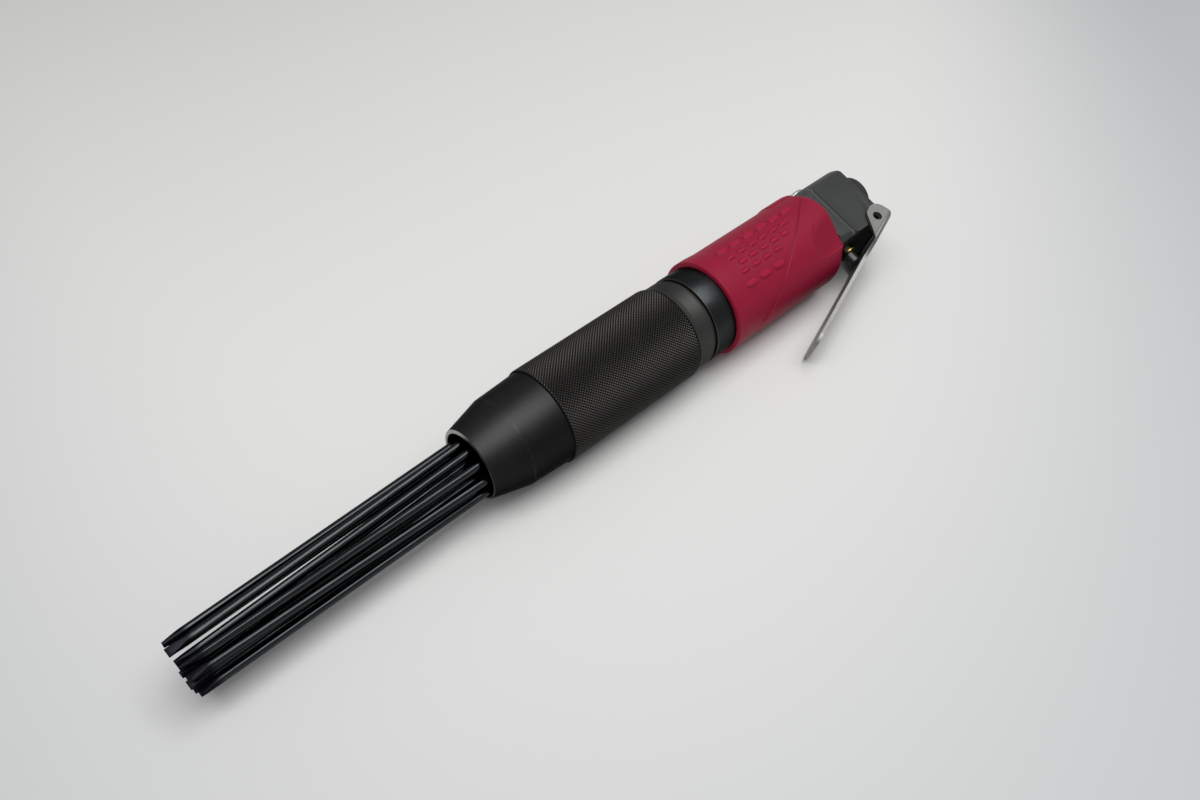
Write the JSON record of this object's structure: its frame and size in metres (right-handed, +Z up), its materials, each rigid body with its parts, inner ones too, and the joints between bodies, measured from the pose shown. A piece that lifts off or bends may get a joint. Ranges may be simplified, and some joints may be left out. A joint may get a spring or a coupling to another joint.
{
  "type": "needle scaler",
  "caption": "Hand-held air-driven needle scaler: a black knurled barrel with a bundle of steel needles at the nose, a red rubber grip and a bright throttle lever at the rear.",
  "frame": {"origin": "middle of the box round the tool, on the table that it lies on", "axes": "+X along the tool toward the needle tips, +Y toward the lever's side, +Z up from the table"},
  "size_m": [0.3218, 0.0594, 0.0399],
  "materials": {
    "nose_black": "black oxide, satin, worn bright at the rim",
    "knurl_black": "black oxide, dull, diamond knurled",
    "collar_black": "black oxide, polished",
    "body_grey": "dark phosphate coat",
    "bushing_black": "black oxide",
    "lever_bright": "satin plated",
    "pin_dark": "dark spring steel",
    "stem_black": "dark, polished",
    "brass": "turned",
    "cap_bright": "bright plated",
    "grip_red": "moulded, soft matt",
    "seal_black": "matt",
    "inner_steel": "ground",
    "spring_steel": "drawn wire",
    "needle_black": "black oxide, glossy"
  },
  "bodies": {
    "body": {"valve_body": "body_grey", "inlet_bushing": "bushing_black", "inlet_screen": "inner_steel", "lever_pin": "pin_dark", "valve_bush": "brass", "stem_seal": "seal_black", "valve_cap": "cap_bright", "cap_seal": "seal_black", "valve_spring": "spring_steel", "grip_sleeve": "grip_red", "cylinder": "collar_black", "distributor_seat": "inner_steel", "distributor_guide": "inner_steel", "distributor_dowel": "inner_steel", "lock_ring": "seal_black", "front_sleeve": "knurl_black", "nose": "nose_black", "return_spring": "spring_steel"},
    "lever": {"throttle_lever": "lever_bright"},
    "throttle": {"valve_stem": "stem_black", "throttle_poppet": "seal_black"},
    "flap": {"distributor_flap": "inner_steel"},
    "hammer": {"piston": "inner_steel"},
    "striker": {"anvil": "inner_steel"},
    "needle_pack": {"needle_holder": "inner_steel", "needle_01": "needle_black", "needle_02": "needle_black", "needle_03": "needle_black", "needle_04": "needle_black", "needle_05": "needle_black", "needle_06": "needle_black", "needle_07": "needle_black", "needle_08": "needle_black", "needle_09": "needle_black", "needle_10": "needle_black", "needle_11": "needle_black", "needle_12": "needle_black"}
  },
  "joints": [
    {"name": "lever_pivot", "type": "hinge", "parent": "body", "child": "lever", "pos_m": [-0.14838, 0.00257, 0.01592], "axis": [0, -0.309, -0.9511], "range_deg": [0, 9.5], "stiffness_Nm_per_rad": 0.8, "springref_deg": -17.19},
    {"name": "throttle_slide", "type": "slide", "parent": "body", "child": "throttle", "axis": [0, -0.9511, 0.309], "range_m": [0, 0.00245], "deforming": ["valve_spring"]},
    {"name": "flap_slide", "type": "slide", "parent": "body", "child": "flap", "axis": [1, 0, 0], "range_m": [0, 0.0009]},
    {"name": "hammer_slide", "type": "slide", "parent": "body", "child": "hammer", "axis": [1, 0, 0], "range_m": [0, 0.029]},
    {"name": "needle_slide", "type": "slide", "parent": "body", "child": "needle_pack", "axis": [1, 0, 0], "range_m": [0, 0.006], "stiffness_N_per_m": 3000, "springref_m": -0.008, "deforming": ["return_spring"]},
    {"name": "striker_slide", "type": "slide", "parent": "body", "child": "striker", "axis": [1, 0, 0], "range_m": [0, 0.006]}
  ],
  "couplings": [
    {"joint": "throttle_slide", "follows": "lever_pivot", "m_per_rad": 0.0146},
    {"joint": "striker_slide", "follows": "needle_slide", "ratio": 1}
  ]
}
